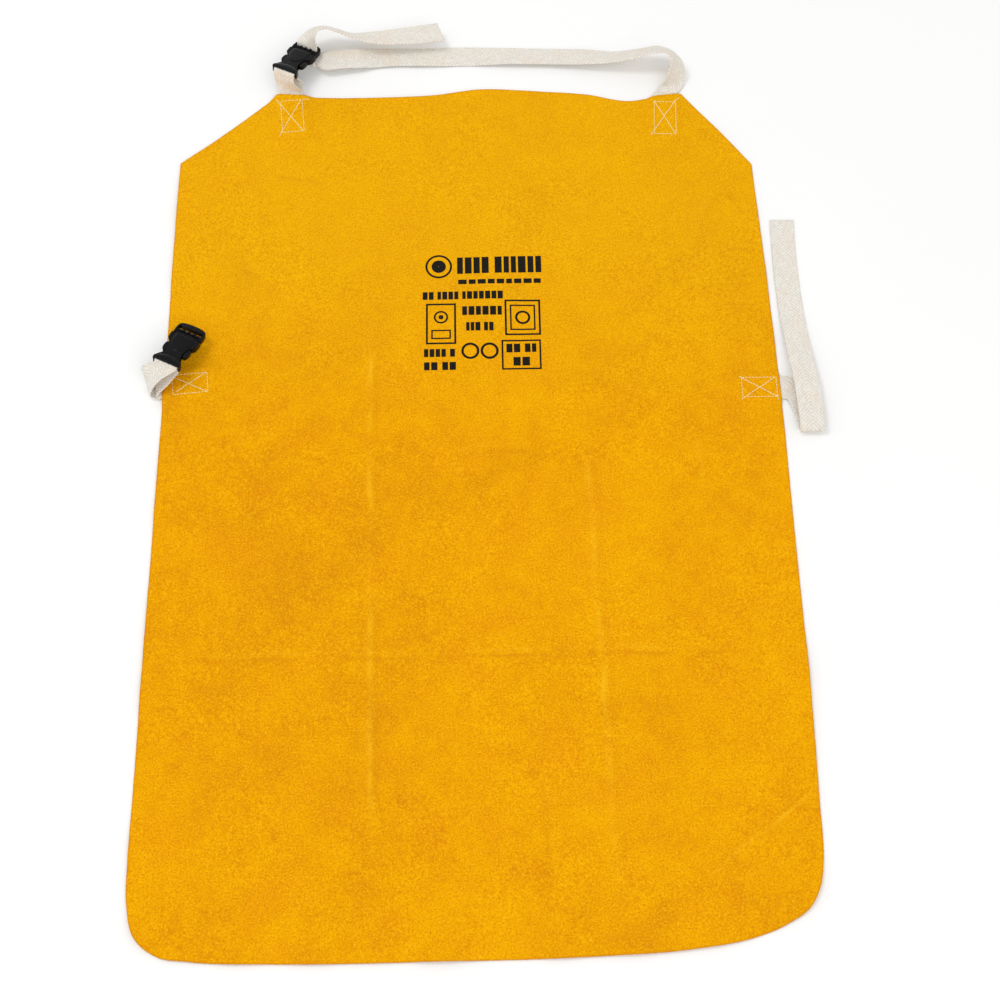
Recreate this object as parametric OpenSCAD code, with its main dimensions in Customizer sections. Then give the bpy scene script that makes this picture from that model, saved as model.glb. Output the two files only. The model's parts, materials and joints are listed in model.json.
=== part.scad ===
// Welding apron: one leather panel with a neck strap, a waist strap, two webbing
// tabs and two side-release buckles, laid flat with its front face up.
// Units are millimetres. X = right as seen from the front, Y = toward the bib
// top, Z = up out of the front face. The origin is the middle of the panel
// rectangle, on the plane the apron lies on.

/* [Leather panel] */
// Panel width
panel_w = 630; // [500:10:750]
// Panel height
panel_h = 930; // [750:10:1100]
// Leather thickness
leather_t = 1.4; // [1:0.1:2.4]
// Height of the cross fold, measured from the panel centre
fold_y = -188; // [-300:1:-120]
// Clear gap at each line where one piece flexes
flex_gap = 0.3; // [0.2:0.05:0.6]

/* [Webbing and thread] */
// Webbing width
web_w = 26; // [20:1:30]
// Webbing thickness
web_t = 1.8; // [1.2:0.1:2.2]
// Thread thickness
thread_d = 0.9; // [0.6:0.1:1.2]
// Height of a stitch above the surface
stitch_h = 0.5; // [0.3:0.1:0.8]

/* [Buckles] */
// Socket thickness
socket_t = 8.2; // [7:0.1:10]
// Plug frame thickness
plug_t = 6.4; // [5:0.1:7]
// Thickness of the socket plates
plate_t = 1.6; // [1.2:0.1:2]
// Diameter of the bar the webbing tab wraps
bar_d = 3.2; // [2.8:0.1:3.4]
// Half width of the socket collar
collar_r = 16.2; // [15:0.1:18]
// Thickness of the two plug arms
arm_t = 4.4; // [3.6:0.1:4.6]

/* [Node] */
// Which piece to draw

/* [Hidden] */

hx = panel_w / 2;
hy = panel_h / 2;
hw = web_w / 2;
layer_gap = 0.1;
post_d = thread_d;
hole_d = post_d + 0.2;
col_leather = [0.90, 0.62, 0.10];
col_web = [0.90, 0.87, 0.80];
col_thread = [0.95, 0.90, 0.62];
col_plastic = [0.08, 0.08, 0.09];

// ---- smooth curves -------------------------------------------------------
function head3(p) = [p[0], p[1], len(p) > 2 ? p[2] : 0];
function chord(S, i) = norm(head3(S[i + 1]) - head3(S[i]));
function slope(S, i) =
    i == 0 ? (S[1] - S[0]) / chord(S, 0)
    : i == len(S) - 1 ? (S[i] - S[i - 1]) / chord(S, i - 1)
    : ((S[i + 1] - S[i]) / chord(S, i) * chord(S, i - 1)
        + (S[i] - S[i - 1]) / chord(S, i - 1) * chord(S, i))
        / (chord(S, i - 1) + chord(S, i));
function between(S, i, u) = let(d = chord(S, i))
    S[i] * (2 * u * u * u - 3 * u * u + 1)
    + slope(S, i) * d * (u * u * u - 2 * u * u + u)
    + S[i + 1] * (3 * u * u - 2 * u * u * u)
    + slope(S, i + 1) * d * (u * u * u - u * u);
function smooth(S, n) = concat(
    [for (i = [0:len(S) - 2]) for (k = [0:n - 1]) between(S, i, k / n)],
    [S[len(S) - 1]]);

// ---- frames of the two buckles: local X across, Y along, Z out of the top ---
function turn(h, p, r) = [
    [cos(h) * cos(r) - sin(h) * sin(p) * sin(r), -sin(h) * cos(p),
        cos(h) * sin(r) + sin(h) * sin(p) * cos(r)],
    [sin(h) * cos(r) + cos(h) * sin(p) * sin(r), cos(h) * cos(p),
        sin(h) * sin(r) - cos(h) * sin(p) * cos(r)],
    [-cos(p) * sin(r), sin(p), cos(p) * cos(r)]];
neck_at = [-201.3, 476.4, 29];
neck_aim = [-28, -16, -3.5];
waist_at = [-307.5, 115.3, 30];
waist_aim = [-24.5, -16.5, 2];
neck_m = turn(neck_aim[0], neck_aim[1], neck_aim[2]);
waist_m = turn(waist_aim[0], waist_aim[1], waist_aim[2]);
module on_frame(at, aim) {
    translate(at) rotate([0, 0, aim[0]]) rotate([aim[1], 0, 0]) rotate([0, aim[2], 0]) children();
}

// ---- webbing: a ribbon through stations [centre, width direction, stretch] --
function st(c, w, s = 1) = [c[0], c[1], c[2], w[0], w[1], w[2], s];
function neck_st(p, s = 1) = let(c = neck_at + neck_m * p, w = neck_m * [s, 0, 0]) st(c, w);
function waist_st(p, s = 1) = let(c = waist_at + waist_m * p, w = waist_m * [s, 0, 0]) st(c, w);
function mid(S, i) = [S[i][0], S[i][1], S[i][2]];
function across(S, i) = let(w = [S[i][3], S[i][4], S[i][5]]) w / norm(w);
function heading(S, i) = let(a = max(i - 1, 0), b = min(i + 1, len(S) - 1),
    d = mid(S, b) - mid(S, a)) d / norm(d);
function face_dir(S, i) = let(n = cross(heading(S, i), across(S, i))) n / norm(n);
function ring(S, i) = let(c = mid(S, i), w = across(S, i) * hw * S[i][6],
    n = face_dir(S, i) * web_t / 2) [c + w + n, c - w + n, c - w - n, c + w - n];
module ribbon(stations, n = 4) {
    S = smooth(stations, n);
    N = len(S);
    polyhedron(
        points = [for (i = [0:N - 1]) for (p = ring(S, i)) p],
        faces = concat(
            [[0, 1, 2, 3]],
            [for (i = [0:N - 2]) for (k = [0:3]) let(a = 4 * i + k, b = 4 * i + (k + 1) % 4)
                [a, a + 4, b + 4]],
            [for (i = [0:N - 2]) for (k = [0:3]) let(a = 4 * i + k, b = 4 * i + (k + 1) % 4)
                [a, b + 4, b]],
            [[4 * N - 1, 4 * N - 2, 4 * N - 3, 4 * N - 4]]),
        convexity = 8);
}

// ---- sewn zones: [exit point, turn, layers, box inset, box length, box width]
// local +Y points out of the leather, the webbing end lies along -Y
neck_tab_zone = [[-196.6, hy + 1], 5, 2, 9.5, 42, 24];
neck_strap_zone = [[222, hy - 7], -3, 1, 10.5, 43, 24];
waist_tab_zone = [[-hx, 103.5], 95, 2, 10, 35.5, 22];
waist_strap_zone = [[hx + 3, 91], -90, 1, 4, 35.5, 22];
zones = [neck_tab_zone, neck_strap_zone, waist_tab_zone, waist_strap_zone];
function pocket_h(z) = stitch_h + z[2] * web_t + (z[2] - 1) * layer_gap;
function box_y0(z) = -z[3] - z[4];
function web_end(z) = z[3] + z[4] + 3;
module in_zone(z) {
    translate([z[0][0], z[0][1], 0]) rotate([0, 0, z[1]]) children();
}
// block with sloping sides, open toward the leather edge
module swell(a, b, run, z0, z1) {
    far = 24;
    intersection() {
        translate([0, far, 0]) rotate([90, 0, 0]) linear_extrude(height = far + b + run + 1)
            polygon([[-a - run, z0], [a + run, z0], [a, z1], [-a, z1]]);
        translate([-a - run - 1, 0, 0]) rotate([90, 0, 90])
            linear_extrude(height = 2 * (a + run + 1))
            polygon([[-b - run, z0], [far, z0], [far, z1], [-b, z1]]);
    }
}
module zone_skin(z) {
    h = pocket_h(z);
    k = (h + leather_t) / h;
    in_zone(z) swell(hw + 0.3 + leather_t, web_end(z) + 0.3 + leather_t, 3 * h * k, 0, h + leather_t);
}
module zone_pocket(z) {
    h = pocket_h(z);
    k = (h + 1) / h;
    in_zone(z) swell(hw + 0.3, web_end(z) + 0.3, 3 * h * k, -1, h);
}
function box_points(z) = let(a = z[5] / 2, y0 = box_y0(z), y1 = -z[3])
    [[-a, y0], [a, y0], [a, y1], [-a, y1], [0, (y0 + y1) / 2]];
module needle_holes(z) {
    in_zone(z) for (p = box_points(z))
        translate([p[0], p[1], -1]) cylinder(h = pocket_h(z) + leather_t + 3, d = hole_d, $fn = 24);
}
module thread_line(p, q) {
    d = q - p;
    translate([p[0], p[1], 0]) rotate([0, 0, atan2(d[1], d[0])])
        translate([-thread_d / 2, -thread_d / 2, 0]) cube([norm(d) + thread_d, thread_d, stitch_h]);
}
module thread_pattern(z) {
    p = box_points(z);
    for (k = [0:3]) thread_line(p[k], p[(k + 1) % 4]);
    thread_line(p[0], p[2]);
    thread_line(p[1], p[3]);
}
module stitching(z) {
    top = pocket_h(z) + leather_t;
    color(col_thread) in_zone(z) {
        thread_pattern(z);
        translate([0, 0, top]) thread_pattern(z);
        for (p = box_points(z)) translate([p[0], p[1], stitch_h / 2])
            cylinder(h = top, d = post_d, $fn = 24);
    }
}

// ---- leather -------------------------------------------------------------
top_edge = [[-212, hy + 1], [-150, hy - 3], [-40, hy - 3], [15, hy + 5], [82, hy + 1],
    [133, hy - 4], [183, hy - 14], [217, hy - 8], [241, hy - 6]];
side_and_hem = [[hx - 3.5, hy - 101], [hx + 1, 194], [hx + 3, 77], [hx + 2.5, -80],
    [hx + 2, -236], [hx, 135 - hy], [hx - 2, 81 - hy], [hx - 7, 59 - hy], [hx - 18, 40 - hy],
    [hx - 40, 26 - hy], [240, 14 - hy], [194, 7 - hy], [100, 2 - hy], [-45, 0.5 - hy],
    [-180, 1 - hy], [59 - hx, 4.5 - hy], [32 - hx, 9 - hy], [12 - hx, 24 - hy],
    [2 - hx, 54 - hy], [-hx, 95 - hy]];
left_bib = [[-hx, hy - 88], [40 - hx, hy - 56], [69 - hx, hy - 30]];
module panel_outline() {
    polygon(concat(smooth(top_edge, 4), smooth(side_and_hem, 4), left_bib));
}
module leather_upper() {
    color(col_leather) difference() {
        intersection() {
            union() {
                translate([-hx - 20, fold_y + flex_gap / 2, 0])
                    cube([panel_w + 40, hy + 20 - fold_y, leather_t]);
                for (z = zones) zone_skin(z);
            }
            translate([0, 0, -1]) linear_extrude(height = 12) panel_outline();
        }
        for (z = zones) {
            zone_pocket(z);
            needle_holes(z);
        }
    }
}
module leather_lower() {
    color(col_leather) linear_extrude(height = leather_t) intersection() {
        panel_outline();
        translate([-hx - 20, -hy - 20])
            square([panel_w + 40, hy + 20 + fold_y - flex_gap / 2]);
    }
}

// ---- webbing sewn under the leather ---------------------------------------
rest_z = stitch_h + web_t / 2;
upper_z = rest_z + web_t + layer_gap;
module neck_tab_sewn_end() {
    z = neck_tab_zone;
    color(col_web) difference() {
        in_zone(z) translate([-hw, -web_end(z), stitch_h])
            cube([web_w, web_end(z) + 0.3, pocket_h(z) - stitch_h]);
        needle_holes(z);
    }
}
module neck_strap_sewn_end() {
    z = neck_strap_zone;
    u = [cos(z[1]), sin(z[1]), 0];
    e = z[0];
    v = [-sin(z[1]), cos(z[1]), 0];
    color(col_web) difference() {
        ribbon([st([e[0], e[1], rest_z] - web_end(z) * v, u), st([e[0], e[1], rest_z] - 8 * v, u),
            st([e[0], e[1], rest_z] - 4 * v, u), st([e[0], e[1], rest_z] + 1.6 * v, u),
            st([225.6, 462.6, 2], [0.99, 0, -0.03]), st([228.3, 465.9, 3.2], [0.99, 0, -0.15])], 3);
        needle_holes(z);
    }
}
module waist_strap_sewn_end() {
    z = waist_strap_zone;
    color(col_web) difference() {
        in_zone(z) translate([-hw, -web_end(z), stitch_h]) cube([web_w, web_end(z) + 0.3, web_t]);
        needle_holes(z);
    }
}

// ---- tabs: a folded length of webbing round the socket bar ------------------
bar_y = 2.2;
bar_z = socket_t / 2 - plate_t - 0.25 - web_t - 0.25 - bar_d / 2;
wrap_r = bar_d / 2 + 0.25 + web_t / 2;
function wrap(a) = [0, bar_y + wrap_r * cos(a), bar_z + wrap_r * sin(a)];
module neck_tab() {
    z = neck_tab_zone;
    u = [cos(z[1]), sin(z[1]), 0];
    x0 = z[0][0];
    y0 = z[0][1] + 0.7;
    color(col_web) ribbon([
        st([x0, y0, rest_z], u), st([x0, y0 + 6.5, 1.8], u), st([x0, y0 + 13.5, 5.4], u),
        st([-197.6, 481.6, 12], [0.95, -0.3, 0.03]), neck_st([0, 7.0, -7.5]), neck_st([0, 5.4, -4.2]),
        neck_st(wrap(0)), neck_st(wrap(45)), neck_st(wrap(90)), neck_st(wrap(135)),
        neck_st(wrap(180)), neck_st([0, -0.9, -4.2]), neck_st([0, -1.7, -8.5]),
        st([-199.6, 471.4, 13], [0.96, -0.28, 0.03]), st([-197.8, 470.6, 8.4], u),
        st([x0, y0 + 1.9, upper_z + 0.6], u), st([x0, y0 + 0.7, upper_z + 0.1], u),
        st([x0, y0, upper_z], u)], 3);
}
module waist_tab() {
    z = waist_tab_zone;
    u = [sin(z[1] - 90), -cos(z[1] - 90), 0];
    inward = [cos(z[1] - 90), sin(z[1] - 90), 0];
    e = [z[0][0], z[0][1], 0];
    low = [0, 0, rest_z];
    high = [0, 0, upper_z];
    color(col_web) difference() {
        ribbon([
            st(e + web_end(z) * inward + low, -u), st(e + 8 * inward + low, -u),
            st(e + 3 * inward + low, -u), st(e - inward + low, -u), st([-323.5, 102.9, 2.1], [-0.1, 0.99, 0]),
            st([-328.6, 103.3, 5.6], [-0.18, 0.98, 0]), st([-330, 104.4, 11], [-0.32, 0.95, 0]),
            st([-328.3, 106.6, 17], [-0.52, 0.85, 0]), st([-323, 109.4, 23.5], [-0.7, 0.71, 0.01]),
            st([-315.2, 111.6, 27.8], [-0.84, 0.54, 0.03]), waist_st([-2, -3.2, -2.2], -1),
            waist_st(wrap(165), -1), waist_st(wrap(125), -1), waist_st(wrap(90), -1),
            waist_st(wrap(45), -1), waist_st(wrap(0), -1), waist_st([0, 5.4, -4.4], -1),
            waist_st([0, 5.2, -8], -1), st([-311, 114.8, 17.2], [-0.8, 0.6, 0.02]),
            st([-316.5, 109.8, 12.4], [-0.55, 0.83, 0]), st([-321, 105.6, 8.9], [-0.3, 0.95, 0]),
            st([-322.5, 103.6, 6.1], [-0.18, 0.98, 0]), st([-320, 103.1, 3.9], [-0.1, 0.99, 0]),
            st(e - inward + high, -u), st(e + 3 * inward + high, -u), st(e + 8 * inward + high, -u),
            st(e + web_end(z) * inward + high, -u)], 3);
        needle_holes(z);
    }
}

// ---- straps ----------------------------------------------------------------
// the seam of the neck strap runs along the direction the plug slides in
seam_dir = [-sin(neck_aim[0]), cos(neck_aim[0]), 0];
seam_s = 1 / cos(neck_aim[0]);
module neck_strap() {
    color(col_web) ribbon([
        st([228.7, 466.5, 3.5], [0.99, 0, -0.15]), st([233.3, 472.8, 9], [0.9, 0.28, -0.33]),
        st([235.3, 478.8, 16.2], [0.8, 0.37, -0.47]), st([235, 487.5, 22.8], [0.6, 0.47, -0.65]),
        st([229, 496.2, 25.8], [0.38, 0.62, -0.69]), st([214, 502.3, 24.8], [0.25, 0.79, -0.56]),
        st([196, 503.3, 18.3], [0.2, 0.85, -0.48]), st([167.5, 504.6, 10.4], [0.14, 0.9, -0.42]),
        st([134.5, 508.5, 6.4], [0.06, 0.97, -0.22]), st([95, 512.3, 2.2], [0, 1, -0.06]),
        st([34, 515.6, 1.2], [0, 1, 0]), st([-30, 515.2, 1], [0, 1, 0]),
        st([-85, 516, 1.2], [0, 1, 0]), st([-105, 514.2, 3.3], [0, 1, 0]),
        st([-118, 511.3, 7], [0.1, 1, 0], 1.02), st([-127, 509.7, 9.1], seam_dir, seam_s)]);
}
module neck_strap_tail() {
    color(col_web) ribbon([
        st([-127.45, 509.65, 9.2], seam_dir, seam_s), st([-138, 508.6, 9.8], [0.03, 1, 0]),
        st([-151, 507, 10], [-0.2, 0.98, 0]), st([-163, 505, 10], [-0.45, 0.89, 0]),
        st([-173, 504.6, 9.5], [-0.74, 0.67, -0.04]), neck_st([3.2, 41, -9.9], -1),
        neck_st([3.4, 38.4, -9.4], -1), neck_st([3.4, 37.6, -8.1], -1),
        neck_st([3.2, 38.4, -6.8], -1), neck_st([2.6, 40.6, -6.2], -1), neck_st([1.1, 44.2, -5.3], -1),
        neck_st([0.1, 46.6, -4], -1), neck_st([0, 49.2, -1.3], -1), neck_st([0, 50, 2], -1),
        neck_st([0, 50.2, 5], -1), st([-175.4, 527.1, 26.6], [-0.59, 0.65, -0.49]),
        st([-168.9, 533.7, 29.6], [-0.37, 0.67, -0.64]), st([-158, 537.5, 28.7], [-0.2, 0.7, -0.68]),
        st([-146, 536.9, 24.7], [-0.11, 0.72, -0.69]), st([-130.5, 534.2, 19.2], [-0.08, 0.75, -0.65]),
        st([-107, 533.3, 15.7], [0.02, 0.92, -0.39]), st([-68, 534.5, 16], [-0.02, 0.99, -0.11]),
        st([-28.7, 538, 17], [-0.32, 0.98, 0], 1.05)]);
}
module waist_strap() {
    x0 = waist_strap_zone[0][0] + 0.7;
    color(col_web) ribbon([
        st([x0, 91, rest_z], [0, 1, 0]), st([326, 89.8, 1.6], [0.2, 0.98, 0]),
        st([333, 83.2, 2], [0.56, 0.83, 0]), st([339.3, 72, 2.2], [0.85, 0.52, 0]),
        st([343.4, 59, 2.2], [0.98, 0.2, 0]), st([345, 48.5, 2.4], [1, 0.04, 0]),
        st([345.2, 42.5, 3.5], [1, 0, 0]), st([345.2, 39.6, 6.6], [1, 0, 0]),
        st([345, 42.5, 9.7], [1, 0, 0]), st([345, 52, 10.8], [1, 0, 0]),
        st([344.4, 72, 11], [1, -0.04, 0]), st([343, 96, 11.4], [1, -0.06, 0]),
        st([340.8, 125, 8], [1, -0.07, 0]), st([338.4, 160, 3.2], [1, -0.06, 0]),
        st([336.9, 200, 1.3], [1, -0.02, 0]), st([336.6, 245, 1], [1, 0, 0]),
        st([338, 289, 1], [1, 0.01, 0])]);
}

// ---- buckles, each in its own frame ------------------------------------------
cavity_w = 12.9;
cavity_t = socket_t - 2 * plate_t - 0.02;
rail_w = hw + 0.3;
mouth_y = 41;
slot_y = 48;
slot_w = 4.2;
grip_y = 45.4;
tip_y = 15.5;
shoulder_y = 38.5;
arm_x = 10.3;
socket_side = [[15, 0], [15.2, 2.5], [13.6, 7], [10.6, 11], [9.4, 14.5], [9.4, 21.5],
    [10.6, 26], [13.4, 29], [15.4, 31.5], [collar_r, 36], [collar_r, mouth_y]];
function mirrored(P) = concat(P, [for (i = [len(P) - 1:-1:0]) [-P[i][0], P[i][1]]]);
module slab(t) {
    translate([0, 0, -t / 2]) linear_extrude(height = t) children();
}
module socket_body() {
    color(col_plastic) {
        difference() {
            slab(socket_t) polygon(mirrored(concat(smooth(socket_side, 3), [[9, mouth_y + 0.7]])));
            translate([-rail_w, -1, -socket_t]) cube([2 * rail_w, 9.4, socket_t * 1.5 - plate_t]);
            translate([-cavity_w, 11.5, -cavity_t / 2]) cube([2 * cavity_w, 40, cavity_t]);
        }
        translate([-rail_w - 0.6, bar_y, bar_z]) rotate([0, 90, 0])
            cylinder(h = 2 * rail_w + 1.2, d = bar_d, $fn = 48);
    }
}
frame_side = [[15.7, 42.5], [16, 47], [15.6, 51.5], [14.6, 54.6], [12.6, 56.4], [8, 57.6], [3, 58.2]];
module plug_frame() {
    color(col_plastic) {
        difference() {
            union() {
                slab(plug_t) polygon(mirrored(smooth(frame_side, 3)));
                slab(cavity_t - 0.4) translate([-cavity_w + 0.5, shoulder_y])
                    square([2 * cavity_w - 1, 5]);
                slab(cavity_t - 0.4) polygon([[-2.5, shoulder_y + 1], [-2.5, tip_y + 2], [-1.4, tip_y],
                    [1.4, tip_y], [2.5, tip_y + 2], [2.5, shoulder_y + 1]]);
            }
            translate([-rail_w, 43.6, -plug_t]) cube([2 * rail_w, grip_y - 43.6, 2 * plug_t]);
            translate([-rail_w, slot_y, -plug_t]) cube([2 * rail_w, slot_w, 2 * plug_t]);
            translate([-rail_w, 43.6, -plug_t]) cube([2 * rail_w, 5, plug_t - 1.2]);
        }
        for (x = [-6, 0, 6]) translate([x - 0.9, grip_y + 0.2, plug_t / 2 - 0.3])
            cube([1.8, slot_y - grip_y - 0.4, 1.1]);
    }
}
// one arm with its button and catch; side = 1 right, -1 left
arm_side = [[arm_x - 1.1, shoulder_y - 0.3], [arm_x + 1.1, shoulder_y - 0.3], [11.2, 27.6],
    [12.4, 27.2], [14.2, 26.4], [14.6, 24], [14.7, 20.5], [14.1, 17.4], [12.9, 15.7], [11.4, 15],
    [10, 15.6], [9.3, 19], [9.2, 27]];
module plug_arm(side) {
    color(col_plastic) slab(arm_t) polygon([for (p = arm_side) [side * p[0], p[1]]]);
}
module neck_buckle_socket() { on_frame(neck_at, neck_aim) socket_body(); }
module neck_buckle_plug() { on_frame(neck_at, neck_aim) plug_frame(); }
module neck_plug_arm_left() { on_frame(neck_at, neck_aim) plug_arm(-1); }
module neck_plug_arm_right() { on_frame(neck_at, neck_aim) plug_arm(1); }
module waist_buckle_socket() { on_frame(waist_at, waist_aim) socket_body(); }
module waist_buckle_plug() { on_frame(waist_at, waist_aim) plug_frame(); }
module waist_plug_arm_left() { on_frame(waist_at, waist_aim) plug_arm(-1); }
module waist_plug_arm_right() { on_frame(waist_at, waist_aim) plug_arm(1); }
module neck_tab_stitching() { stitching(neck_tab_zone); }
module neck_strap_stitching() { stitching(neck_strap_zone); }
module waist_tab_stitching() { stitching(waist_tab_zone); }
module waist_strap_stitching() { stitching(waist_strap_zone); }

leather_upper();
leather_lower();
neck_tab_sewn_end();
neck_strap_sewn_end();
waist_strap_sewn_end();
neck_tab_stitching();
neck_strap_stitching();
waist_tab_stitching();
waist_strap_stitching();
neck_tab();
neck_buckle_socket();
neck_strap();
neck_buckle_plug();
neck_plug_arm_left();
neck_plug_arm_right();
neck_strap_tail();
waist_tab();
waist_buckle_socket();
waist_buckle_plug();
waist_plug_arm_left();
waist_plug_arm_right();
waist_strap();
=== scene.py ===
"""Welding apron: suede leather, webbing, thread, print and buckles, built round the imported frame."""
import json
import math
import random

import bmesh
import bpy
import numpy as np
from mathutils import Matrix, Vector, noise
from mathutils.geometry import delaunay_2d_cdt
from mathutils.kdtree import KDTree


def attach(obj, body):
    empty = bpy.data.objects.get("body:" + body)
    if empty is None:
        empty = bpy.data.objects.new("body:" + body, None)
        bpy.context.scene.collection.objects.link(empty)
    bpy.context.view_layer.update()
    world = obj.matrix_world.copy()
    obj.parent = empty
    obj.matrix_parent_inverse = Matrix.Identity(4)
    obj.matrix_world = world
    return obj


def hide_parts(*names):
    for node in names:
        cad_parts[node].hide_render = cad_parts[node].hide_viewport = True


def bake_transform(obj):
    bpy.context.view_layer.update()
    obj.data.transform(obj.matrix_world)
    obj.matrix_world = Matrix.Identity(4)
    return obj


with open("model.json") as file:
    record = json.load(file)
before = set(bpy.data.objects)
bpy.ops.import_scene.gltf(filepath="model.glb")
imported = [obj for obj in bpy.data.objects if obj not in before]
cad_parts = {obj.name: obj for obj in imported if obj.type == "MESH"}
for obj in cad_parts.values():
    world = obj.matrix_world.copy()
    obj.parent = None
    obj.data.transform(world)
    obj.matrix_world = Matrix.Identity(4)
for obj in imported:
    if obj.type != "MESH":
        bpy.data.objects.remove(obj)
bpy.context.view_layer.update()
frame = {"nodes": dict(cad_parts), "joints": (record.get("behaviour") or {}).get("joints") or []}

MM = 0.001
joints = {j["name"]: j for j in frame["joints"]}

# ---- sizes, in millimetres, as in the part's own source ----
HX, HY = 315, 465  # half the leather's width and height
LEATHER_T = 1.4
HALF_WEB, WEB_T = 13, 1.8
YARN, PICK = 1.3, 4.0  # width of a warp yarn, and length of one step of the twill
STITCH_H, LAYER_GAP = 0.5, 0.1
REST_Z = STITCH_H + WEB_T / 2  # middle of the webbing layer that rests on the back stitches
UPPER_Z = REST_Z + WEB_T + LAYER_GAP  # middle of a second layer over it
FOLD_Y, FOLD_BEND = joints["skirt_fold"]["pos_m"][1] / MM, 7
RISE_GAP, RISE_RUN = 0.3, 3.2  # the leather's rise beside webbing: its start, and its run over its height
DENT, DENT_W = 0.34, 1.3  # depth and half width of the dent that a seam pulls in the leather
EDGE_DROOP, EDGE_W = 0.30, 0.6  # how far the leather thins at its cut edge, and over what width

TOP_EDGE = [(-212, HY + 1), (-150, HY - 3), (-40, HY - 3), (15, HY + 5), (82, HY + 1),
            (133, HY - 4), (183, HY - 14), (217, HY - 8), (241, HY - 6)]
SIDE_AND_HEM = [(HX - 3.5, HY - 101), (HX + 1, 194), (HX + 3, 77), (HX + 2.5, -80),
                (HX + 2, -236), (HX, 135 - HY), (HX - 2, 81 - HY), (HX - 7, 59 - HY),
                (HX - 18, 40 - HY), (HX - 40, 26 - HY), (240, 14 - HY), (194, 7 - HY),
                (100, 2 - HY), (-45, 0.5 - HY), (-180, 1 - HY), (59 - HX, 4.5 - HY),
                (32 - HX, 9 - HY), (12 - HX, 24 - HY), (2 - HX, 54 - HY), (-HX, 95 - HY)]
LEFT_BIB = [(-HX, HY - 88), (40 - HX, HY - 56), (69 - HX, HY - 30)]


# ---- curves ----
def unit(v):
    """Vectors scaled to length 1."""
    v = np.asarray(v, float)
    return v / np.linalg.norm(v, axis=-1, keepdims=True)


def smooth(stations, n):
    """The same smooth curve through the stations as the part's source draws, with n steps a span."""
    s = np.array(stations, float)
    d = np.linalg.norm(np.diff(s[:, :3], axis=0), axis=1)[:, None]
    v = np.diff(s, axis=0) / d
    slope = np.vstack([v[:1], (v[1:] * d[:-1] + v[:-1] * d[1:]) / (d[:-1] + d[1:]), v[-1:]])
    out = []
    for i in range(len(d)):
        for u in np.arange(n) / n:
            out.append(s[i] * (2 * u ** 3 - 3 * u * u + 1) + slope[i] * d[i] * (u ** 3 - 2 * u * u + u)
                       + s[i + 1] * (3 * u * u - 2 * u ** 3) + slope[i + 1] * d[i] * (u ** 3 - u * u))
    return np.vstack(out + [s[-1:]])


def densify(loop, step):
    """A closed loop with no side longer than step; its own corners stay."""
    out = []
    for p, q in zip(loop, np.roll(loop, -1, axis=0)):
        n = max(1, math.ceil(np.linalg.norm(q - p) / step))
        out += [p + (q - p) * k / n for k in range(n)]
    return np.array(out)


def ease(lo, hi, x):
    """A smooth step from 0 at lo to 1 at hi."""
    t = np.clip((x - lo) / (hi - lo), 0, 1)
    return t * t * (3 - 2 * t)


def turn_matrix(heading, pitch, roll):
    """Turns about z, then x, then y, of a frame whose y runs along the buckle."""
    h, p, r = (math.radians(a) for a in (heading, pitch, roll))
    return np.array(Matrix.Rotation(h, 3, "Z") @ Matrix.Rotation(p, 3, "X") @ Matrix.Rotation(r, 3, "Y"))


def ripple(points, wavelength, seed):
    """Smooth noise about zero over x and y."""
    return np.array([noise.noise(Vector((x / wavelength, y / wavelength, seed)))
                     for x, y in np.asarray(points)[:, :2]])


def noise_line(s, wavelength, seed):
    """Smooth noise about zero along a length."""
    return np.array([noise.noise(Vector((v / wavelength, seed * 3.7, 0.5))) for v in s])


def distance_to(points, a, b):
    """Distance from each point to the segment a-b, in plan."""
    a, b = np.array(a, float), np.array(b, float)
    t = np.clip((points - a) @ (b - a) / ((b - a) @ (b - a)), 0, 1)
    return np.linalg.norm(points - a - t[:, None] * (b - a), axis=1)


# ---- meshes ----
def mesh_object(name, points, faces, material, uv=None, attributes=None):
    """A mesh from points in millimetres. uv holds a pair for each point, and each of the attributes
    a float or a vector for each point."""
    mesh = bpy.data.meshes.new(name)
    mesh.from_pydata((np.asarray(points) * MM).tolist(), [], faces)
    bm = bmesh.new()
    bm.from_mesh(mesh)
    bmesh.ops.recalc_face_normals(bm, faces=bm.faces)
    bm.to_mesh(mesh)
    bm.free()
    mesh.shade_smooth()
    if uv is not None:
        corner = np.empty(len(mesh.loops), int)
        mesh.loops.foreach_get("vertex_index", corner)
        layer = mesh.uv_layers.new(name="weave")
        layer.data.foreach_set("uv", np.asarray(uv, np.float32)[corner].ravel())
    for key, values in (attributes or {}).items():
        values = np.asarray(values, np.float32)
        kind, field = ("FLOAT_VECTOR", "vector") if values.ndim == 2 else ("FLOAT", "value")
        mesh.attributes.new(key, kind, "POINT").data.foreach_set(field, values.ravel())
    mesh.materials.append(material)
    obj = bpy.data.objects.new(name, mesh)
    bpy.context.scene.collection.objects.link(obj)
    return obj


def flex(obj):
    """Bakes an object's transform into its mesh; the object is not attached to a body."""
    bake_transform(obj)


def inside(points, loop):
    """Which points lie inside a closed loop."""
    x, y = points[:, 0], points[:, 1]
    hit = np.zeros(len(points), bool)
    for (x0, y0), (x1, y1) in zip(loop, np.roll(loop, -1, axis=0)):
        if y0 != y1:
            hit ^= ((y0 > y) != (y1 > y)) & (x < (x1 - x0) * (y - y0) / (y1 - y0) + x0)
    return hit


def edge_distance(points, loop):
    """Distance from each point to the nearest of the loop's own points."""
    tree = KDTree(len(loop))
    for i, (x, y) in enumerate(loop):
        tree.insert((x, y, 0), i)
    tree.balance()
    return np.array([tree.find((x, y, 0))[2] for x, y in points])


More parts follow.
